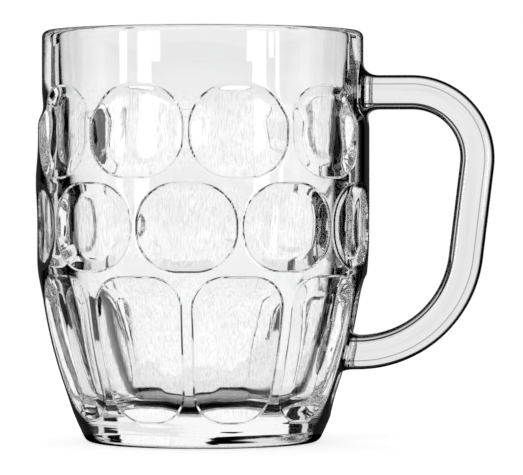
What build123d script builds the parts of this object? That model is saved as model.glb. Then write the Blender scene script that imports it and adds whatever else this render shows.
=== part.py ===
from build123d import *
import os
from math import acos, asin, atan2, cos, degrees, radians, sin, sqrt, tan

# A pressed glass mug: a bowl with three rows of dimples, and a bar handle welded on at two roots.
# Millimetres and degrees. The bowl's axis is Z, it stands on z = 0, and the handle is on the +X side.

# Bowl
barrel_radius = 51.6      # outside of the ribs
shoulder_step = 1.9       # the plain rim band lies this far inside the ribs
shoulder_height = 7.0     # height of the S-shaped step under the rim band
taper_radius = 150.0      # arc of the wall, from the middle row down to the foot
foot_corner = 3.0
bearing_width = 10.3      # ring it stands on, measured in from the sharp foot corner
underside_hollow = 1.5
rim_wall = 4.4
lip_round = 2.0
barrel_wall = 8.6         # at the ribs
floor_thickness = 11.4
floor_corner = 9.0

# Dimples, from the foot up
foot_band = 7.2           # plain glass under the lower row
lower_row_height = 44.7
middle_row_height = 26.4
upper_row_height = 27.8
ridge = 1.6               # plain glass between two rows
rim_band = 17.7           # plain glass over the upper row
band_reach = 5.2          # how far the upper row runs up into the rim band
dimples_per_row = 10
dimple_depth = 3.8
flank_angle = 38.0        # how far a dimple's sides splay out
dimple_toe = 2.5          # round between a dimple's floor and its sides
round_row_rib = 1.9       # glass between two dimples of the upper or middle row
panel_row_rib = 3.0       # and of the lower row
dimple_corner = 9.5       # corners of a floor, in the upper and middle rows
panel_top_corner = 6.5    # and in the lower row
panel_foot_corner = 6.0
cut_over = 1.0            # cutters stand this far out of the glass

# Handle
handle_thickness = 10.4
handle_width = 14.5
handle_round = 3.0
handle_drop = 19.1        # from the rim to the middle of the top bar
handle_reach = 33.35      # from the ribs to the middle of the grip
upper_bend = 20.2
lower_bend = 33.5
root_rise = 20.6          # middle of the lower root, above the lower row's edge
lower_lead = 1.7          # the lower bend ends this far outside the wall
root_flare = 4.0          # round where the bar spreads onto the bowl
flare_steps = 8

# Heights of the rows and of the rim
lower_row_top = foot_band + lower_row_height
middle_row_foot = lower_row_top + ridge
middle_row_top = middle_row_foot + middle_row_height
upper_row_foot = middle_row_top + ridge
upper_row_top = upper_row_foot + upper_row_height
mug_height = upper_row_top + rim_band
shoulder_top = upper_row_top - band_reach
shoulder_foot = shoulder_top - shoulder_height
taper_top = (middle_row_foot + middle_row_top) / 2

rim_radius = barrel_radius - shoulder_step
arc_centre = barrel_radius - taper_radius
pitch = 360 / dimples_per_row


def arc_radius(height, inset=0):
    # radius of the tapering wall, or of the surface that lies inset within it
    return arc_centre + sqrt((taper_radius - inset) ** 2 - (taper_top - height) ** 2)


def wall_radius(height):
    if height >= shoulder_top:
        return rim_radius
    if height >= taper_top:
        return barrel_radius
    return arc_radius(height)


def revolved(*edges):
    return revolve(make_face(Curve() + list(edges)), Axis.Z)


def ring_point(radius, height):
    return Vector(radius, 0, height)


# Outside of the bowl as one filled body, so that the handle can be seated on it
def outer_form():
    foot_radius = arc_radius(0)
    hollow_edge = ring_point(foot_radius - bearing_width, 0)
    hollow_middle = ring_point(0, underside_hollow)
    foot_edge = ring_point(foot_radius, 0)
    taper_middle = ring_point(arc_radius(taper_top / 2), taper_top / 2)
    barrel_foot = ring_point(barrel_radius, taper_top)
    step_foot = ring_point(barrel_radius, shoulder_foot)
    step_middle = ring_point((barrel_radius + rim_radius) / 2, (shoulder_foot + shoulder_top) / 2)
    step_top = ring_point(rim_radius, shoulder_top)
    rim_edge = ring_point(rim_radius, mug_height)
    rim_middle = ring_point(0, mug_height)
    step_low = TangentArc(step_foot, step_middle, tangent=(0, 0, 1))
    step_high = TangentArc(step_top, step_middle, tangent=(0, 0, -1))
    form = revolved(
        TangentArc(hollow_middle, hollow_edge, tangent=(1, 0, 0)),
        Line(hollow_edge, foot_edge),
        ThreePointArc(foot_edge, taper_middle, barrel_foot),
        Line(barrel_foot, step_foot),
        step_low,
        step_high,
        Line(step_top, rim_edge),
        Line(rim_edge, rim_middle),
        Line(rim_middle, hollow_middle),
    )
    foot_rim = form.edges().group_by(Axis.Z)[0].sort_by(SortBy.LENGTH)[-1]
    return fillet(foot_rim, foot_corner)


# Inside of the bowl, up to the rim
def drinking_space():
    floor_radius = arc_radius(floor_thickness, barrel_wall)
    middle_height = (floor_thickness + taper_top) / 2
    floor_middle = ring_point(0, floor_thickness)
    floor_edge = ring_point(floor_radius, floor_thickness)
    taper_middle = ring_point(arc_radius(middle_height, barrel_wall), middle_height)
    taper_end = ring_point(barrel_radius - barrel_wall, taper_top)
    rim_edge = ring_point(rim_radius - rim_wall, mug_height)
    rim_middle = ring_point(0, mug_height)
    space = revolved(
        Line(floor_middle, floor_edge),
        ThreePointArc(floor_edge, taper_middle, taper_end),
        Line(taper_end, rim_edge),
        Line(rim_edge, rim_middle),
        Line(rim_middle, floor_middle),
    )
    floor_rim = space.edges().group_by(Axis.Z)[0]
    return fillet(floor_rim, floor_corner)


# Width of glass between the middles of two ribs, at a radius
def pitch_width(radius):
    return 2 * radius * sin(radians(pitch / 2))


# How much of the depth is left at a dimple's side, where the round wall has fallen away
def side_depth(radius):
    return dimple_depth - radius * (1 - cos(radians(pitch / 2)))


# Cutter of one dimple: its floor outline on a plane square to the wall, splayed outwards
def dimple_cutter(outline, radius, height, lean):
    splay = radians(lean)
    out = Vector(cos(splay), 0, -sin(splay))
    floor_plane = Plane(origin=ring_point(radius, height) - out * dimple_depth, x_dir=(0, 1, 0), z_dir=out)
    cutter = extrude(floor_plane * outline, dimple_depth + cut_over, taper=-flank_angle)
    floor_face = cutter.faces().filter_by(GeomType.PLANE).sort_by_distance(floor_plane.origin)[0]
    return fillet(floor_face.edges(), dimple_toe)


# Upper and middle rows: a rounded square
def round_cutter(foot, top):
    run = tan(radians(flank_angle))
    wide = pitch_width(barrel_radius) - round_row_rib - 2 * run * side_depth(barrel_radius)
    high = top - foot - 2 * run * dimple_depth
    corner = min(dimple_corner, 0.45 * wide, 0.45 * high)
    return dimple_cutter(RectangleRounded(wide, high, corner), barrel_radius, (foot + top) / 2, 0)


# Lower row: a tall panel that narrows with the taper
def panel_cutter():
    run = tan(radians(flank_angle))
    height = (foot_band + lower_row_top) / 2
    lean = degrees(asin((taper_top - height) / taper_radius))
    half_high = lower_row_height / (2 * cos(radians(lean))) - run * dimple_depth

    def half_wide(along):
        radius = arc_radius(height + along * cos(radians(lean)))
        return (pitch_width(radius) - panel_row_rib) / 2 - run * side_depth(radius)

    foot_half = half_wide(-half_high)
    top_half = half_wide(half_high)
    panel = make_face(Polyline(
        (-foot_half, -half_high), (foot_half, -half_high), (top_half, half_high), (-top_half, half_high),
        close=True,
    ))
    foot_corners = panel.vertices().group_by(Axis.Y)[0]
    panel = fillet(foot_corners, panel_foot_corner)
    top_corners = panel.vertices().group_by(Axis.Y)[-1]
    panel = fillet(top_corners, panel_top_corner)
    return dimple_cutter(panel, arc_radius(height), height, lean)


# Copies of a cutter round the bowl, at the given places of its row
def around(cutter, places, offset=0):
    return [Rot(0, 0, pitch * (place + offset)) * cutter for place in places]


# The handle's upper root takes the place of one dimple of the upper row
def dimple_cutters():
    every_place = range(dimples_per_row)
    upper = around(round_cutter(upper_row_foot, upper_row_top), every_place[1:])
    middle = around(round_cutter(middle_row_foot, middle_row_top), every_place, 0.5)
    lower = around(panel_cutter(), every_place)
    return upper + middle + lower


# Handle: one bar bent in the XZ plane
bar_height = mug_height - handle_drop
low_height = foot_band + root_rise
upper_centre = ring_point(barrel_radius + handle_reach - upper_bend, bar_height - upper_bend)
lower_centre = ring_point(wall_radius(low_height) + lower_lead, low_height + lower_bend)


def handle_section(x, height, tilt, up=0, down=0, side=0):
    turn = radians(tilt)
    plane = Plane(origin=(x, 0, height), x_dir=(0, 1, 0), z_dir=(cos(turn), 0, sin(turn)))
    wide = handle_width + 2 * side
    high = handle_thickness + up + down
    corner = handle_round + (up + down) / 2
    outline = RectangleRounded(wide, high, min(corner, 0.45 * wide, 0.45 * high))
    return plane * Pos(0, (up - down) / 2) * outline


# How much the bar has spread, at a distance from the wall: a quarter ellipse
def spread(distance, size):
    share = min(max(distance / root_flare, 0), 1)
    return size * (1 - sqrt(1 - (1 - share) ** 2))


# One root: sections from the end of the plain bar to the wall, then straight on into the glass
def flared_root(bar_line, above, below, beside, side_spread):
    outer_end = max(above, below, beside) + root_flare
    inner_end = min(above, below, beside)
    step = (outer_end - inner_end) / flare_steps
    sections = []
    for place in range(flare_steps + 1):
        x = outer_end - place * step
        height, tilt = bar_line(x)
        up = spread(x - above, root_flare)
        down = spread(x - below, root_flare)
        side = spread(x - beside, side_spread)
        sections.append(handle_section(x, height, tilt, up, down, side))
    height, tilt = bar_line(inner_end)
    sections.append(handle_section(inner_end / 2, height, tilt, root_flare, root_flare, side_spread))
    return loft(sections, ruled=True), outer_end


def upper_bar_line(x):
    return bar_height, 0


def lower_bar_line(x):
    tilt = asin(max(x - lower_centre.X, 0) / lower_bend)
    return lower_centre.Z - lower_bend * cos(tilt), degrees(tilt)


# X of the round wall, off the middle plane by the half width of a root
def beside_wall(height, side_spread):
    return sqrt(wall_radius(height) ** 2 - (handle_width / 2 + side_spread) ** 2)


def bend(centre, radius, first, last):
    angles = [radians(first), radians((first + last) / 2), radians(last)]
    return ThreePointArc(*[centre + radius * Vector(cos(angle), 0, sin(angle)) for angle in angles])


def bar_handle(seat):
    half = handle_thickness / 2
    upper_root, upper_end = flared_root(
        upper_bar_line,
        wall_radius(bar_height + half),
        wall_radius(bar_height - half - root_flare),
        beside_wall(bar_height, root_flare),
        root_flare,
    )
    # the lower root spreads across its panel, from rib to rib
    panel_wide = pitch_width(wall_radius(low_height - half - root_flare)) - panel_row_rib
    panel_spread = (panel_wide - handle_width) / 2
    lower_root, lower_end = flared_root(
        lower_bar_line,
        wall_radius(low_height + half),
        wall_radius(low_height - half),
        beside_wall(low_height, panel_spread),
        panel_spread,
    )
    # the grip is the straight line that touches both bends
    across = upper_centre - lower_centre
    lean = degrees(atan2(across.Z, across.X) - acos((lower_bend - upper_bend) / across.length))
    upper_arc = bend(upper_centre, upper_bend, 90, lean)
    lower_arc = bend(lower_centre, lower_bend, lean, lower_bar_line(lower_end)[1] - 90)
    path = Wire([
        Line(ring_point(upper_end, bar_height), upper_arc @ 0),
        upper_arc,
        Line(upper_arc @ 1, lower_arc @ 0),
        lower_arc,
    ])
    bar = sweep(handle_section(upper_end, bar_height, 0), path=path)
    return bar + upper_root + lower_root - seat


def dimpled_bowl(form):
    bowl = form - drinking_space()
    lip_edges = bowl.edges().group_by(Axis.Z)[-1]
    return fillet(lip_edges, min(lip_round, 0.45 * rim_wall))


form = outer_form() - dimple_cutters()
parts = {
    "dimpled_bowl": dimpled_bowl(form),
    "handle": bar_handle(form),
}

os.makedirs("parts", exist_ok=True)
for name, piece in parts.items():
    export_step(piece, f"parts/{name}.step")
    print(name, len(piece.solids()), "solid", round(piece.volume / 1000, 1), "cm3")
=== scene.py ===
import bpy
import numpy as np
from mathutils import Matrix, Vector


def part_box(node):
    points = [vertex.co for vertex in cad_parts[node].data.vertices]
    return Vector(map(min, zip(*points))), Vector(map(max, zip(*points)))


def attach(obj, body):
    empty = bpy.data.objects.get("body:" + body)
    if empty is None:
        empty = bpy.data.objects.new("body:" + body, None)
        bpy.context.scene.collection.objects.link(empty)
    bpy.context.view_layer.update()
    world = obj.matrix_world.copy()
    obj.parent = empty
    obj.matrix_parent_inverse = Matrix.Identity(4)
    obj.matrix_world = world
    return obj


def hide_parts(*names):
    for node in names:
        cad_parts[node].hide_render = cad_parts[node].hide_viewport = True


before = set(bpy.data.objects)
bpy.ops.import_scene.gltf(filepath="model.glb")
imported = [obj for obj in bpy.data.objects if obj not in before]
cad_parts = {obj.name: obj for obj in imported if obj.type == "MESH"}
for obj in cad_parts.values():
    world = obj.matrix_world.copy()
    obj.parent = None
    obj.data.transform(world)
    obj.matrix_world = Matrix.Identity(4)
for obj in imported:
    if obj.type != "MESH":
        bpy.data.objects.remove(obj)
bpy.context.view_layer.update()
scene = bpy.context.scene
scene.view_settings.view_transform = "Standard"
mm = 0.001                                    # shapes are worked out in millimetres
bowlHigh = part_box("dimpled_bowl")[1]          # its highest corner


# Shader maths: a Wire is a socket, and sums with it add Math nodes

class Wire:
    def __init__(self, tree, socket=None):
        self.tree = tree
        self.socket = socket

    # any node: its type, its settings first, then values or wires for its sockets
    def node(self, kind, settings, sockets, output=0):
        made = self.tree.nodes.new(kind)
        for name, value in settings.items():
            setattr(made, name, value)
        for name, value in sockets.items():
            if isinstance(value, Wire):
                self.tree.links.new(value.socket, made.inputs[name])
            else:
                made.inputs[name].default_value = value
        return Wire(self.tree, made.outputs[output] if made.outputs else None)

    def math(self, operation, *values):
        return self.node("ShaderNodeMath", {"operation": operation}, dict(enumerate(values)))

    def __add__(self, other):
        return self.math("ADD", self, other)

    def __radd__(self, other):
        return self.math("ADD", other, self)

    def __sub__(self, other):
        return self.math("SUBTRACT", self, other)

    def __rsub__(self, other):
        return self.math("SUBTRACT", other, self)

    def __mul__(self, other):
        return self.math("MULTIPLY", self, other)

    def __rmul__(self, other):
        return self.math("MULTIPLY", other, self)

    def __truediv__(self, other):
        return self.math("DIVIDE", self, other)

    def __abs__(self):
        return self.math("ABSOLUTE", self)

    # 0 below low, 1 above high, with a soft S between; low may be the larger one
    def soft(self, low, high):
        sockets = {"Value": self, "From Min": low, "From Max": high}
        return self.node("ShaderNodeMapRange", {"interpolation_type": "SMOOTHSTEP"}, sockets)


def emptyTree(owner):
    owner.use_nodes = True
    owner.node_tree.nodes.clear()
    return Wire(owner.node_tree)


# A closed surface from rings of points: rings[row, column, xyz] in mm, each ring closed on itself,
# and one point closes each end. Columns turn to the left and rows go forward, so faces look outwards.
def closedSurface(name, rings, firstPole, lastPole):
    rows, columns = rings.shape[:2]
    points = np.concatenate([[firstPole], rings.reshape(-1, 3), [lastPole]]) * mm
    here = 1 + np.arange(rows * columns).reshape(rows, columns)
    beside = np.roll(here, -1, axis=1)
    quads = np.stack([here[:-1], beside[:-1], beside[1:], here[1:]], axis=-1).reshape(-1, 4)
    firstFan = np.stack([np.zeros(columns, int), beside[0], here[0]], axis=-1)
    lastFan = np.stack([np.full(columns, len(points) - 1), here[-1], beside[-1]], axis=-1)
    mesh = bpy.data.meshes.new(name)
    mesh.from_pydata(points.tolist(), [], quads.tolist() + firstFan.tolist() + lastFan.tolist())
    mesh.polygons.foreach_set("use_smooth", np.ones(len(mesh.polygons), bool))
    mesh.update()
    piece = bpy.data.objects.new(name, mesh)
    scene.collection.objects.link(piece)
    return piece


# values at a closed surface's points, for its material
def pointValues(piece, name, values):
    ends = [[values[0].mean()], values.ravel(), [values[-1].mean()]]
    attribute = piece.data.attributes.new(name, "FLOAT", "POINT")
    attribute.data.foreach_set("value", np.concatenate(ends).astype(np.float32))


# smaller of two heights, with the corner between them rounded off where they are closer than reach
def softMin(a, b, reach):
    near = np.clip(1 - np.abs(a - b) / reach, 0, 1)
    return np.minimum(a, b) - reach * near * near / 4


def softMax(a, b, reach):
    return -softMin(-a, -b, reach)


def smoothStep(x, low, high):
    share = np.clip((x - low) / (high - low), 0, 1)
    return share * share * (3 - 2 * share)


# The bowl

bowl = {
    "height": bowlHigh.z / mm,
    "barrelRadius": bowlHigh.y / mm,          # outside of the ribs
    "shoulderStep": 1.9,                      # the rim band lies this far inside the ribs
    "shoulderFoot": 97.1,
    "shoulderTop": 104.1,
    "taperTop": 66.7,                         # the wall is an arc from here down
    "taperRadius": 150.0,
    "footCorner": 3.0,
    "bearingWidth": 10.3,
    "hollow": 1.5,
    "rimWall": 4.4,
    "lipHeight": 2.0,
    "barrelWall": 8.6,
    "floorHeight": 11.4,
    "floorCorner": 9.0,
    "rippleTop": 114.0,                       # the plunger's ripples end here, below the fire-polished rim
    "rippleFade": 10.0,
}
bowl["rimRadius"] = bowl["barrelRadius"] - bowl["shoulderStep"]
bowl["arcCentre"] = bowl["barrelRadius"] - bowl["taperRadius"]

dimples = {
    "perRow": 10,
    "slope": 0.42,                            # fall of a dimple's side at its edge, per mm inwards
    "crest": 0.4,                             # half width of the rounded edge
    "toe": 0.5,                               # half width of the hollow between side and floor
    "farOut": -6.0,                           # stands for any place that is well outside a dimple, mm
    "rows": [
        {"foot": 7.9, "top": 51.9, "turn": 0, "rib": 3.0, "footCorner": 9.0, "topCorner": 9.5,
         "edge": 1.2, "dish": 0.5, "power": 6, "missing": None},
        {"foot": 53.5, "top": 79.9, "turn": 18, "rib": 1.7, "footCorner": 12.3, "topCorner": 12.3,
         "edge": 1.2, "dish": 0.5, "power": 2, "missing": None},
        {"foot": 81.5, "top": 109.3, "turn": 0, "rib": 1.7, "footCorner": 12.3, "topCorner": 12.3,
         "edge": 1.2, "dish": 0.5, "power": 2, "missing": 0},
    ],
}
dimplePitch = 2 * np.pi / dimples["perRow"]


# radius of the arc of the tapering wall, or of a surface that lies inset within it
def arcRadius(z, inset=0):
    return bowl["arcCentre"] + np.sqrt((bowl["taperRadius"] - inset) ** 2 - (bowl["taperTop"] - z) ** 2)


# radius of the plain outer wall: the taper's arc, the barrel, an S of two equal arcs, the rim band
def wallRadius(z):
    half = (bowl["shoulderTop"] - bowl["shoulderFoot"]) / 2
    bend = (half ** 2 + bowl["shoulderStep"] ** 2 / 4) / bowl["shoulderStep"]
    fall = bend - np.sqrt(bend ** 2 - np.clip(z - bowl["shoulderFoot"], 0, half) ** 2)
    rise = bend - np.sqrt(bend ** 2 - np.clip(bowl["shoulderTop"] - z, 0, half) ** 2)
    barrel = np.where(z < bowl["taperTop"], arcRadius(np.minimum(z, bowl["taperTop"])), bowl["barrelRadius"])
    return np.where(z < bowl["shoulderFoot"] + half, barrel - fall, bowl["rimRadius"] + rise)


# A dimple: inside a rounded rectangle on the wall its side falls by its slope times the distance inwards,
# as far as a floor that lies a little under the straight line from its foot to its top, deeper in the middle.
def dimpleRadius(row, turn, z):
    plain = wallRadius(z)
    middle = (row["foot"] + row["top"]) / 2
    halfHigh = (row["top"] - row["foot"]) / 2
    across = np.abs(plain * np.sin(turn))
    along = z - middle
    halfWide = plain * np.sin(dimplePitch / 2) - row["rib"] / 2
    upwards = smoothStep(along, -halfHigh, halfHigh)
    corner = row["footCorner"] + (row["topCorner"] - row["footCorner"]) * upwards
    sideways = across - halfWide + corner
    lengthways = np.abs(along) - halfHigh + corner
    out = np.hypot(np.maximum(sideways, 0), np.maximum(lengthways, 0))
    inwards = corner - out - np.minimum(np.maximum(sideways, lengthways), 0)
    footRadius, topRadius = wallRadius(np.array([row["foot"], row["top"]]))
    straight = footRadius + (topRadius - footRadius) * (along / halfHigh + 1) / 2
    offMiddle = (across / halfWide) ** 2 + np.abs(along / halfHigh) ** row["power"]
    sunk = straight - row["edge"] - row["dish"] * (1 - offMiddle)
    side = plain - dimples["slope"] * inwards
    return softMax(sunk, side, dimples["toe"] * dimples["slope"]), inwards


# outer radius at an angle and a height, and how far inside the nearest dimple's outline the place is
def outerRadius(angle, z):
    radius = wallRadius(z) + 0 * angle
    deepest = 0 * radius + dimples["farOut"]
    for row in dimples["rows"]:
        place = (angle - np.radians(row["turn"])) / dimplePitch
        for neighbour in (0, 1):              # the nearest dimple and the one past the rib
            nearest = np.round(place)
            chosen = nearest + neighbour * np.where(place > nearest, 1, -1)
            turn = (place - chosen) * dimplePitch
            sunk, inwards = dimpleRadius(row, turn, z)
            there = np.ones_like(radius, bool)
            if row["missing"] is not None:
                there = chosen % dimples["perRow"] != row["missing"]
            cut = softMin(radius, sunk, dimples["crest"] * dimples["slope"])
            radius = np.where(there, cut, radius)
            deepest = np.where(there, np.maximum(deepest, inwards), deepest)
    return radius, deepest


# how finely the bowl is divided
grid = {
    "sectors": 20,
    "columnsPerSector": 25,
    "crowding": 0.5,
    "outerRows": 152,
    "edgeInset": 0.8,                         # rows crowd this far inside a dimple's ends, mm
    "edgeCrowding": 1.6,
    "edgeReach": 2.2,
    "fineSteps": 4000,                        # heights at which that crowding is added up
    "domeShares": (0.2, 0.45, 0.7, 0.9, 0.98),
    "floorShares": (0.8, 0.55, 0.3, 0.12),
    "bearingInsets": (0.4, 0.6),              # rows at both edges of the ring it stands on, mm
    "filletRows": 8,
    "lipRows": 11,
    "innerRows": 13,
}


# angles of the columns, closer together at the ribs of all rows
def columnAngles():
    place = np.arange(grid["sectors"] * grid["columnsPerSector"]) / grid["columnsPerSector"]
    crowd = grid["crowding"] / (2 * np.pi) * np.sin(2 * np.pi * place)
    return (place - crowd) * 2 * np.pi / grid["sectors"]


# heights of the rows on the outer wall, closer together at the ends of the dimples
def rowHeights(low, high):
    fine = np.linspace(low, high, grid["fineSteps"])
    density = np.ones_like(fine)
    for row in dimples["rows"]:
        for edge in (row["foot"] + grid["edgeInset"], row["top"] - grid["edgeInset"]):
            density += grid["edgeCrowding"] * np.exp(-((fine - edge) / grid["edgeReach"]) ** 2)
    share = np.cumsum(density)
    share = (share - share[0]) / (share[-1] - share[0])
    return np.interp(np.linspace(0, 1, grid["outerRows"]), share, fine)


# a fillet between a flat at a height and the wall's arc: its points from the flat side to the wall side
def footFillet(height, corner, inset):
    reach = bowl["taperRadius"] - inset - corner
    drop = bowl["taperTop"] - (height + corner)
    centreRadius = bowl["arcCentre"] + np.sqrt(reach ** 2 - drop ** 2)
    angles = np.linspace(-np.pi / 2, -np.arcsin(drop / reach), grid["filletRows"])
    return centreRadius + corner * np.cos(angles), height + corner + corner * np.sin(angles)


# a profile turned round the axis: hollow, standing ring, foot corner, wall, lip, inside, corner and floor,
# where the wall's radius also goes by the angle, for the dimples
def makeBowl():
    angles = columnAngles()
    footR, footZ = footFillet(0, bowl["footCorner"], 0)
    hollowEdge = arcRadius(0) - bowl["bearingWidth"]
    domeR = hollowEdge * np.array(grid["domeShares"])
    domeZ = bowl["hollow"] * (1 - (domeR / hollowEdge) ** 2)
    ringR = np.array([hollowEdge + grid["bearingInsets"][0], footR[0] - grid["bearingInsets"][1]])
    lipTop = bowl["height"]
    lipFoot = lipTop - bowl["lipHeight"]
    lipAngles = np.linspace(0, np.pi, grid["lipRows"])
    lipMiddle = bowl["rimRadius"] - bowl["rimWall"] / 2
    lipR = lipMiddle + bowl["rimWall"] / 2 * np.cos(lipAngles)
    lipZ = lipFoot + bowl["lipHeight"] * np.sin(lipAngles)
    heights = rowHeights(footZ[-1], lipFoot)[1:-1]
    cornerR, cornerZ = footFillet(bowl["floorHeight"], bowl["floorCorner"], bowl["barrelWall"])
    innerRim = bowl["rimRadius"] - bowl["rimWall"]
    innerBarrel = bowl["barrelRadius"] - bowl["barrelWall"]
    innerZ = np.linspace(lipFoot, cornerZ[-1], grid["innerRows"])[1:-1]
    flare = np.clip((innerZ - bowl["taperTop"]) / (lipTop - bowl["taperTop"]), 0, 1)
    innerArc = arcRadius(np.minimum(innerZ, bowl["taperTop"]), bowl["barrelWall"])
    innerR = np.where(innerZ > bowl["taperTop"], innerBarrel + (innerRim - innerBarrel) * flare, innerArc)
    floorR = cornerR[0] * np.array(grid["floorShares"])
    outerR, inwards = outerRadius(angles[None, :], heights[:, None])

    def plainRows(radii):
        return np.repeat(np.asarray(radii)[:, None], len(angles), axis=1)

    radii = np.concatenate([
        plainRows(domeR), plainRows(ringR), plainRows(footR), outerR, plainRows(lipR),
        plainRows(innerR), plainRows(cornerR[::-1]), plainRows(floorR),
    ])
    flat = np.full(len(floorR), bowl["floorHeight"])
    rowZ = np.concatenate([domeZ, 0 * ringR, footZ, heights, lipZ, innerZ, cornerZ[::-1], flat])
    rings = np.stack([
        radii * np.cos(angles), radii * np.sin(angles), np.repeat(rowZ[:, None], len(angles), axis=1),
    ], axis=-1)
    piece = closedSurface("DimpledBowl", rings, (0, 0, bowl["hollow"]), (0, 0, bowl["floorHeight"]))
    depth = np.full(radii.shape, dimples["farOut"])
    first = len(domeR) + len(ringR) + len(footR)
    depth[first:first + len(heights)] = inwards
    pointValues(piece, "inDimple", depth)
    mask = np.zeros(radii.shape)
    first += len(heights) + len(lipR)
    mask[first:] = smoothStep(rowZ[first:, None], bowl["rippleTop"], bowl["rippleTop"] - bowl["rippleFade"])
    pointValues(piece, "plungerSide", mask)
    print("bowl:", len(piece.data.vertices), "points,", 2 * radii.size, "triangles")
    return piece


# The handle

handle = {
    "thickness": 10.4,
    "width": 14.5,
    "round": 3.0,
    "barHeight": 107.9,                       # middle of the top bar
    "gripReach": 33.35,                       # from the ribs to the middle of the grip
    "upperBend": 20.2,
    "lowerBend": 33.5,
    "rootHeight": 27.8,                       # middle of the lower root
    "lowerLead": 1.7,                         # the lower bend ends this far outside the wall
    "upperFlare": (4.0, 4.0, 4.0),            # spread upwards, downwards and to each side
    "lowerFlare": (4.0, 3.0, 4.0),
    "flareLength": 5.0,
    "fitLength": 11.0,                        # over this length its rings take on the wall's shape
    "seam": 0.05,                             # gap between the glass of the two pieces
    "rootSteps": (0, 0.12, 0.3, 0.6, 1.0, 1.5, 2.1, 2.8, 3.6, 4.5),    # rings near the wall, mm from it
    "rootGap": 0.5,                           # from the last of these to the evenly spaced ones, at least
    "capShares": (0.12, 0.3, 0.5, 0.7, 0.86, 0.96),    # rings on an end, as shares of its outline
    "seatRounds": 6,                          # rounds in which a place on the wall settles
    "stepLength": 1.1,
    "cornerPoints": 13,
    "sidePoints": 7,
}


# x of the bowl's outside, straight out from a point (y, z) of the middle plane
def wallX(y, z):
    x = np.full(np.shape(y), bowl["barrelRadius"])
    for again in range(handle["seatRounds"]):
        radius = outerRadius(np.arctan2(y, x), z)[0]
        x = np.sqrt(radius ** 2 - y ** 2)
    return x


# a rounded rectangle as points (sideways, outwards): arcs of a quarter turn joined by straight sides
def barSection(halfWide, above, below, corner):
    turns = np.linspace(0, np.pi / 2, handle["cornerPoints"])
    points = []
    corners = [(halfWide, above, 0), (-halfWide, above, 1), (-halfWide, -below, 2), (halfWide, -below, 3)]
    for y, n, quarter in corners:
        angles = turns + quarter * np.pi / 2
        arc = np.stack([
            y - np.sign(y) * corner + corner * np.cos(angles),
            n - np.sign(n) * corner + corner * np.sin(angles),
        ], axis=-1)
        points.append(arc)
    sides = []
    for arc, following in zip(points, points[1:] + points[:1]):
        shares = np.linspace(0, 1, handle["sidePoints"] + 2)[1:-1, None]
        sides.append(arc)
        sides.append(arc[-1] + (following[0] - arc[-1]) * shares)
    return np.concatenate(sides)


# middle line of the bar as rows (x, z, direction): straight, arc, line that touches both arcs, arc, straight
def barLine(upperWall, lowerWall):
    upperCentre = np.array([
        bowl["barrelRadius"] + handle["gripReach"] - handle["upperBend"],
        handle["barHeight"] - handle["upperBend"],
    ])
    lowerX = wallRadius(np.array(handle["rootHeight"])) + handle["lowerLead"]
    lowerCentre = np.array([lowerX, handle["rootHeight"] + handle["lowerBend"]])
    across = upperCentre - lowerCentre
    lean = np.arctan2(across[1], across[0])
    lean -= np.arccos((handle["lowerBend"] - handle["upperBend"]) / np.hypot(*across))

    def straight(start, end):
        start = np.array(start)
        end = np.array(end)
        count = max(int(np.hypot(*(end - start)) / handle["stepLength"]), 2)
        shares = np.linspace(0, 1, count, endpoint=False)[:, None]
        heading = np.arctan2(*(end - start)[::-1])
        return np.column_stack([start + (end - start) * shares, np.full(count, heading)])

    def arc(centre, radius, first, last):
        count = max(int(radius * abs(first - last) / handle["stepLength"]), 2)
        angles = np.linspace(first, last, count, endpoint=False)
        return np.column_stack([
            centre[0] + radius * np.cos(angles), centre[1] + radius * np.sin(angles), angles - np.pi / 2,
        ])

    touch = np.array([np.cos(lean), np.sin(lean)])
    rows = np.concatenate([
        straight((upperWall, handle["barHeight"]), (upperCentre[0], handle["barHeight"])),
        arc(upperCentre, handle["upperBend"], np.pi / 2, lean),
        straight(upperCentre + handle["upperBend"] * touch, lowerCentre + handle["lowerBend"] * touch),
        arc(lowerCentre, handle["lowerBend"], lean, -np.pi / 2),
        straight((lowerX, handle["rootHeight"]), (lowerWall, handle["rootHeight"])),
    ])
    rows[:, 2] = np.where(rows[:, 2] > np.pi / 2, rows[:, 2] - 2 * np.pi, rows[:, 2])
    return rows


# growth of the section towards the wall: a quarter ellipse
def spread(distance, size):
    share = np.clip(distance / handle["flareLength"], 0, 1)
    return size * (1 - np.sqrt(1 - (1 - share) ** 2))


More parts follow.
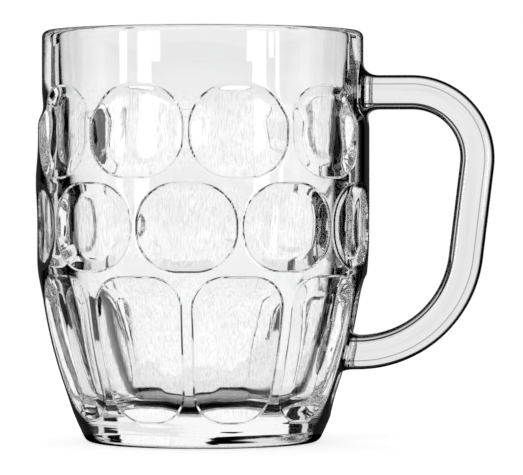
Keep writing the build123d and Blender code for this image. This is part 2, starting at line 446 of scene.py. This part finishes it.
# the section carried along the bar's middle line, spread at both roots and fitted to the wall there
def makeHandle():
    upperWall = wallX(np.array(0.0), np.array(handle["barHeight"])) + handle["seam"]
    lowerWall = wallX(np.array(0.0), np.array(handle["rootHeight"])) + handle["seam"]
    line = barLine(float(upperWall), float(lowerWall))
    # finer rows near both roots, then every row's own section
    near = np.array(handle["rootSteps"])
    upperRows = np.column_stack([upperWall + near, np.full(len(near), handle["barHeight"]), 0 * near])
    lowerRows = np.column_stack([
        lowerWall + near[::-1], np.full(len(near), handle["rootHeight"]), 0 * near - np.pi,
    ])
    halfway = (handle["barHeight"] + handle["rootHeight"]) / 2
    fromWall = line[:, 0] - np.where(line[:, 1] > halfway, upperWall, lowerWall)
    line = np.concatenate([upperRows, line[fromWall > near[-1] + handle["rootGap"]], lowerRows])
    half = handle["thickness"] / 2
    rings = []
    across = []
    for x, z, heading in line:
        upper = z > halfway
        wall = upperWall if upper else lowerWall
        flare = handle["upperFlare"] if upper else handle["lowerFlare"]
        distance = x - wall
        if not upper:                         # the lower bar's outer face looks down
            flare = (flare[1], flare[0], flare[2])
        outward, inward, side = [spread(distance, size) for size in flare]
        corner = handle["round"] + (outward + inward) / 2
        section = barSection(handle["width"] / 2 + side, half + outward, half + inward, corner)
        y = section[:, 0]
        px = x - np.sin(heading) * section[:, 1]
        pz = z + np.cos(heading) * section[:, 1]
        fit = 1 - smoothStep(distance, 0, handle["fitLength"])
        if fit > 0:
            px = px + (wallX(y, pz) + handle["seam"] - wall) * fit
        rings.append(np.stack([px, y, pz], axis=-1))
        across.append(section[:, 1])
    rings = np.array(rings)

    # an end: smaller rings inside the root's outline, all lying on the wall
    def endRings(ring, shares):
        middle = ring.mean(axis=0)
        capped = []
        for share in shares:
            y = middle[1] + (ring[:, 1] - middle[1]) * share
            z = middle[2] + (ring[:, 2] - middle[2]) * share
            capped.append(np.stack([wallX(y, z) + handle["seam"], y, z], axis=-1))
        return np.array(capped)

    shares = np.array(handle["capShares"])
    first = endRings(rings[0], shares)
    last = endRings(rings[-1], shares[::-1])
    firstPole = (upperWall, 0, first[0, :, 2].mean())
    lastPole = (lowerWall, 0, last[-1, :, 2].mean())
    rings = np.concatenate([first, rings, last])
    piece = closedSurface("BarHandle", rings, firstPole, lastPole)
    quarter = np.concatenate([np.ones(handle["cornerPoints"]), np.zeros(handle["sidePoints"])])
    pointValues(piece, "onRound", np.tile(quarter, (len(rings), 4)))
    ends = len(shares)
    pointValues(piece, "acrossBar", np.pad(np.array(across), ((ends, ends), (0, 0)), "edge"))
    print("handle:", len(piece.data.vertices), "points")
    return piece


bowlPiece = makeBowl()
handlePiece = makeHandle()
for piece, node, slot in ((bowlPiece, "dimpled_bowl", "bowl_glass"), (handlePiece, "handle", "handle_glass")):
    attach(piece, "root")
    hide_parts(node)


# Glass

glassIndex = 1.5
glassTint = (0.996, 1.0, 0.998)


# colour of glass that lets a share of the light through at each wall: the shader takes its root there
def greyGlass(tree, share):
    red, green, blue = [share * share * tint for tint in glassTint]
    return tree.node("ShaderNodeCombineColor", {}, {"Red": red, "Green": green, "Blue": blue})


def makeGlass(tree, share, rough, bumped):
    shader = tree.node("ShaderNodeBsdfPrincipled", {}, {
        "Base Color": greyGlass(tree, share),
        "Roughness": rough,
        "IOR": glassIndex,
        "Transmission Weight": 1.0,
        "Normal": bumped,
    })
    tree.node("ShaderNodeOutputMaterial", {}, {"Surface": shader})


def bump(height):
    return height.node("ShaderNodeBump", {}, {"Height": height, "Distance": mm, "Strength": 1.0})


pressed = {
    "band": 0.925,                            # light that the thick bands and ribs let through, per wall
    "floor": 0.97,                            # and the thinner floors of the dimples
    "rim": 0.95,                              # and the thin fire-polished rim
    "speck": 0.1,                             # how much the chill marks take away
    "edge": (0.55, 0.67),                     # painted shade: the bowl's colour darkens where it turns away from the eye
    "rimShadeEdge": (0.76, 0.86),                  # but the rim's and the dimples' floors' painted shade lies only at their very edge
    "floorShadeEdge": (0.82, 0.92),
    "floorFrom": (0.6, 3.0),                  # a floor begins this far inside its dimple's outline, mm
    "rimFrom": (104.0, 112.0),                # and the rim at this height, mm
    "floorRough": 0.03,                       # roughness of the floors, which the cold mould leaves mottled
    "insideRough": 0.02,                      # and of the inside, which the plunger leaves rippled
    "insideRougher": 0.03,                    # how much more where the streaks are strong
    "edgeStep": 0.95,                         # the sharp step at a dimple's outline, mm
    "edgeWidth": 0.35,                        # and half its width
    "drawnOut": 0.14,                         # the marks are this much slower up the wall than round it
    "streaks": (0.7, 3.0),                    # chill marks: how many per mm, and their detail
    "streakRange": (0.35, 0.7),
    "streakDepth": 0.03,                      # and their height, mm
    "specks": (2.0, 2.0),                     # finer marks, the same way
    "speckRange": (0.48, 0.62),
    "waves": (0.09, 1.0),                     # slow waves all over
    "waveDepth": 0.13,
    "footTop": (8.5, 6.5),                    # level ripples round the foot begin here, mm
    "footRound": 0.05,                        # they are this much slower round it than up it
    "footRipples": (0.35, 1.5),
    "footDepth": 0.3,
}


# clear glass with the marks of its mould and its plunger, and painted shade where it turns away from the eye
def makePressedGlass():
    material = bpy.data.materials.new("pressedGlass")
    tree = emptyTree(material)
    place = tree.node("ShaderNodeTexCoord", {}, {}, "Object")
    z = place.node("ShaderNodeSeparateXYZ", {}, {"Vector": place}, "Z") / mm
    inDimple = tree.node("ShaderNodeAttribute", {"attribute_name": "inDimple"}, {}, "Fac")
    inside = tree.node("ShaderNodeAttribute", {"attribute_name": "plungerSide"}, {}, "Fac")
    entering = 1 - tree.node("ShaderNodeNewGeometry", {}, {}, "Backfacing")
    floor = inDimple.soft(*pressed["floorFrom"])
    wall = inDimple.soft(pressed["edgeWidth"], -pressed["edgeWidth"])
    rim = z.soft(*pressed["rimFrom"])
    foot = z.soft(*pressed["footTop"]) * (1 - inside)

    def noise(stretch, scale, detail):
        perMetre = [part / mm for part in stretch]
        scaled = place.node("ShaderNodeMapping", {}, {"Vector": place, "Scale": perMetre})
        return scaled.node("ShaderNodeTexNoise", {}, {"Vector": scaled, "Scale": scale, "Detail": detail})

    upright = (1, 1, pressed["drawnOut"])
    streaks = noise(upright, *pressed["streaks"])
    waves = noise(upright, *pressed["waves"])
    specks = noise(upright, *pressed["specks"]).soft(*pressed["speckRange"])
    ripples = noise((pressed["footRound"], pressed["footRound"], 1), *pressed["footRipples"])
    strong = streaks.soft(*pressed["streakRange"])
    rough = inside * (pressed["insideRough"] + pressed["insideRougher"] * strong)
    rough = rough + floor * pressed["floorRough"]
    height = entering * (floor * streaks * pressed["streakDepth"] + wall * pressed["edgeStep"])
    height = height + waves * pressed["waveDepth"] + foot * ripples * pressed["footDepth"]
    band = pressed["band"] + (pressed["rim"] - pressed["band"]) * rim
    light = band + floor * (pressed["floor"] - band - pressed["speck"] * specks)
    light = light + inside * (1 - light)
    # painted shade: the colour darkens towards the outline, as the glass turns away from the eye
    ends = []
    for plain, onRim, onFloor in zip(pressed["edge"], pressed["rimShadeEdge"], pressed["floorShadeEdge"]):
        ends.append((plain + (onFloor - plain) * floor) * (1 - rim) + onRim * rim)
    facing = tree.node("ShaderNodeLayerWeight", {}, {}, "Facing")
    makeGlass(tree, light * (1 - facing.soft(*ends)), rough, bump(height))
    return material


drawn = {
    "share": 0.88,                            # light that the handle lets through, per wall
    "roundShadeEdge": (0.18, 0.4),                 # painted shade: its rounds darken where they turn away from the eye
    "shadeLines": [(-3.7, 0.42, 0.95), (2.4, 0.28, 0.5)],   # painted shade lines: place across it and half width in mm, and darkness
    "lineCore": 0.3,                          # share of the half width that is fully dark
    "drawnOut": 0.06,                         # marks of drawing are this much slower along it than round it
    "streakScale": 0.4,                       # how many of them per mm, and their detail
    "streakDetail": 2.0,
    "streakDepth": 0.05,                      # their height, mm
    "mottle": 0.04,                           # how much light they take away
    "mottleRange": (0.45, 0.65),
    "rough": 0.02,                            # and how much they roughen
    "roughRange": (0.4, 0.7),
}


# clear glass with fine streaks of drawing and painted shade lines along the bar
def makeDrawnGlass():
    material = bpy.data.materials.new("drawnGlass")
    tree = emptyTree(material)
    place = tree.node("ShaderNodeTexCoord", {}, {}, "Object")
    split = place.node("ShaderNodeSeparateXYZ", {}, {"Vector": place}).socket.node.outputs
    x, y, z = [Wire(tree.tree, split[axis]) / mm for axis in "XYZ"]
    outwards = tree.node("ShaderNodeAttribute", {"attribute_name": "acrossBar"}, {}, "Fac")
    onRound = tree.node("ShaderNodeAttribute", {"attribute_name": "onRound"}, {}, "Fac")
    entering = 1 - tree.node("ShaderNodeNewGeometry", {}, {}, "Backfacing")
    facing = tree.node("ShaderNodeLayerWeight", {}, {}, "Facing")
    along = tree.node("ShaderNodeCombineXYZ", {}, {"X": y, "Y": outwards, "Z": (x - z) * drawn["drawnOut"]})
    streaks = along.node("ShaderNodeTexNoise", {}, {
        "Vector": along,
        "Scale": drawn["streakScale"],
        "Detail": drawn["streakDetail"],
    })
    # painted shade on the rounds, towards their outline
    light = drawn["share"] * (1 - onRound * facing.soft(*drawn["roundShadeEdge"]))
    # painted shade: dark lines along the bar, only where the ray enters the glass
    for middle, halfWide, dark in drawn["shadeLines"]:
        line = abs(outwards - middle).soft(halfWide, halfWide * drawn["lineCore"])
        light = light * (1 - dark * entering * line)
    light = light * (1 - drawn["mottle"] * streaks.soft(*drawn["mottleRange"]))
    rough = streaks.soft(*drawn["roughRange"]) * drawn["rough"]
    makeGlass(tree, light, rough, bump(streaks * drawn["streakDepth"]))
    return material


bowlPiece.data.materials.append(makePressedGlass())
handlePiece.data.materials.append(makeDrawnGlass())
scene.cycles.max_bounces = 24
scene.cycles.transmission_bounces = 24
scene.cycles.glossy_bounces = 16
print("glass set")


# Camera, at the photograph's place

view = {
    "azimuth": 5.5,                           # degrees round the mug, towards the handle
    "distance": 1115.0,
    "height": 77.5,
    "sensorWidth": 36.0,
    "imageWidth": 523,
    "imageHeight": 475,
    "focalPixels": 3600,
    "axisColumn": 202.75,                     # pixel column of the mug's axis
    "horizonRow": 191.0,                      # pixel row of the camera's height
}
viewTurn = np.radians(view["azimuth"])


def makeCamera():
    data = bpy.data.cameras.new("photoCamera")
    camera = bpy.data.objects.new("photoCamera", data)
    scene.collection.objects.link(camera)
    data.sensor_width = view["sensorWidth"]
    data.lens = view["focalPixels"] * data.sensor_width / view["imageWidth"]
    perPixel = view["distance"] / view["focalPixels"] * mm
    right = Vector((np.cos(viewTurn), np.sin(viewTurn), 0))
    back = Vector((np.sin(viewTurn), -np.cos(viewTurn), 0))
    place = back * view["distance"] * mm + Vector((0, 0, view["height"] * mm))
    sideways = (view["imageWidth"] / 2 - view["axisColumn"]) * perPixel
    down = (view["imageHeight"] / 2 - view["horizonRow"]) * perPixel
    target = right * sideways + Vector((0, 0, view["height"] * mm - down))
    camera.location = place
    camera.rotation_mode = "QUATERNION"
    camera.rotation_quaternion = (target - place).to_track_quat("-Z", "Y")
    scene.camera = camera


makeCamera()
print("camera set")


# Studio: white to the camera; the glass sees white walls with dark corners, and a ring of light above them

studio = {
    "backHalf": 30.0,                         # half width of the white wall behind, degrees
    "backSoft": 0.6,
    "backLevel": 1.15,
    "sideHalf": 12.0,                         # and of those at both sides
    "sideSoft": 1.0,
    "sideLevel": 0.9,
    "frontFrom": (140.0, 155.0),              # the wall behind the camera begins here, degrees
    "frontLevel": 0.15,
    "strips": [(38.5, 43.0, 0.9)],            # upright strips in the dark corners, degrees and level
    "stripSoft": 0.5,
    "mirrorLevel": 0.04,                      # share of walls, ring and floor that outer reflections see
    "wallTop": 19.5,                          # top of the walls, degrees up
    "ringLow": 24.5,                          # the ring of soft light above them, with a dark gap between
    "ringSoft": 0.8,
    "ringHigh": 58.0,
    "ringFade": 6.0,
    "ringLevel": 0.95,
    # light boxes in front: degrees to the right of the camera, and level
    "boxes": [(-61.0, -56.0, 6.0), (-47.0, -37.0, 6.0), (35.0, 46.0, 6.0), (53.5, 56.0, 6.0)],
    "boxSoft": 0.7,
    "boxLow": -30.0,
    "boxHigh": 12.0,
    "boxFade": 3.0,
    "floorSize": 1200.0,
    "floorDrop": 0.05,                        # under the foot, mm
    "shadeDisc": (41.0, 39.5),                 # painted shade: through glass the floor is dark this near to the axis, mm
    "wallFoot": (230.0, 245.0),               # and this far from it, behind the mug, it carries on the walls
    "behind": (-102.0, 0.0),
    "floorGlow": 0.6,
    "floorPaint": 0.9,
}


# how far a place or a direction goes to the right, away from the camera and up
def rightAway(vector):
    split = vector.node("ShaderNodeSeparateXYZ", {}, {"Vector": vector})
    x, y, z = [Wire(vector.tree, split.socket.node.outputs[axis]) for axis in "XYZ"]
    return x * np.cos(viewTurn) + y * np.sin(viewTurn), y * np.cos(viewTurn) - x * np.sin(viewTurn), z


# 1 for what a glossy surface mirrors
def isMirrored(tree):
    reflection = tree.node("ShaderNodeLightPath", {}, {}, "Is Reflection Ray")
    return reflection * (1 - tree.node("ShaderNodeLightPath", {}, {}, "Is Diffuse Ray"))


# share of the studio that a ray sees: outer reflections see little of it, as with black cards round the mug
def cardShare(mirrored):
    return 1 - (1 - studio["mirrorLevel"]) * mirrored


# 1 between two limits, with a soft edge at both
def within(wire, low, high, edge):
    return wire.soft(low - edge, low + edge) * wire.soft(high + edge, high - edge)


# brightness of the walls by the angle round the mug from straight behind it
def wallLevel(right, away):
    angle = abs(right.math("ARCTAN2", right, away)) * (180 / np.pi)
    back = within(angle, -studio["backHalf"], studio["backHalf"], studio["backSoft"])
    sides = within(angle - 90, -studio["sideHalf"], studio["sideHalf"], studio["sideSoft"])
    level = back * studio["backLevel"] + sides * studio["sideLevel"]
    level = level + angle.soft(*studio["frontFrom"]) * studio["frontLevel"]
    for low, high, strength in studio["strips"]:
        level = level + strength * within(angle, low, high, studio["stripSoft"])
    return level


# white walls at the back, both sides and the front, a ring of light above them, and upright light boxes
# in front, which only reflections see
def makeWorld():
    world = bpy.data.worlds.new("studio")
    scene.world = world
    tree = emptyTree(world)
    right, away, z = rightAway(tree.node("ShaderNodeTexCoord", {}, {}, "Generated"))
    up = z.math("ARCSINE", z) * (180 / np.pi)
    ring = up.soft(studio["ringLow"] - studio["ringSoft"], studio["ringLow"] + studio["ringSoft"])
    ring = ring * up.soft(studio["ringHigh"] + studio["ringFade"], studio["ringHigh"] - studio["ringFade"])
    walls = up.soft(studio["wallTop"] + studio["ringSoft"], studio["wallTop"] - studio["ringSoft"])
    mirrored = isMirrored(tree)
    level = (wallLevel(right, away) * walls + ring * studio["ringLevel"]) * cardShare(mirrored)
    front = right.math("ARCTAN2", right, away * -1) * (180 / np.pi)
    tall = within(up, studio["boxLow"], studio["boxHigh"], studio["boxFade"])
    for low, high, strength in studio["boxes"]:
        level = level + strength * mirrored * tall * within(front, low, high, studio["boxSoft"])
    isCamera = tree.node("ShaderNodeLightPath", {}, {}, "Is Camera Ray")
    strength = isCamera + (1 - isCamera) * level
    background = tree.node("ShaderNodeBackground", {}, {"Color": (1, 1, 1, 1), "Strength": strength})
    tree.node("ShaderNodeOutputWorld", {}, {"Surface": background})


# pale floor: to the camera white with the mug's shadow; through the glass it has painted shade under the mug,
# white round it, and carries on the walls far behind it
def makeFloor():
    half = studio["floorSize"] / 2 * mm
    low = -studio["floorDrop"] * mm
    mesh = bpy.data.meshes.new("studioFloor")
    corners = [(-half, -half, low), (half, -half, low), (half, half, low), (-half, half, low)]
    mesh.from_pydata(corners, [], [(0, 1, 2, 3)])
    floor = bpy.data.objects.new("studioFloor", mesh)
    scene.collection.objects.link(floor)
    material = bpy.data.materials.new("paleFloor")
    tree = emptyTree(material)
    right, away = rightAway(tree.node("ShaderNodeTexCoord", {}, {}, "Object"))[:2]
    distance = right.math("SQRT", right * right + away * away) / mm
    isCamera = tree.node("ShaderNodeLightPath", {}, {}, "Is Camera Ray")
    far = distance.soft(*studio["wallFoot"]) * (away / mm).soft(*studio["behind"])
    # painted shade near the axis, only for rays that come through the glass
    seen = (1 - distance.soft(*studio["shadeDisc"])) * (1 - far) + wallLevel(right, away) * far
    strength = isCamera * studio["floorGlow"] + (1 - isCamera) * seen * cardShare(isMirrored(tree))
    glow = tree.node("ShaderNodeEmission", {}, {"Color": (1, 1, 1, 1), "Strength": strength})
    paint = isCamera * studio["floorPaint"]
    colour = paint.node("ShaderNodeCombineColor", {}, {"Red": paint, "Green": paint, "Blue": paint})
    matt = tree.node("ShaderNodeBsdfDiffuse", {}, {"Color": colour})
    both = tree.node("ShaderNodeAddShader", {}, {0: glow, 1: matt})
    tree.node("ShaderNodeOutputMaterial", {}, {"Surface": both})
    mesh.materials.append(material)


makeWorld()
makeFloor()
print("studio set")
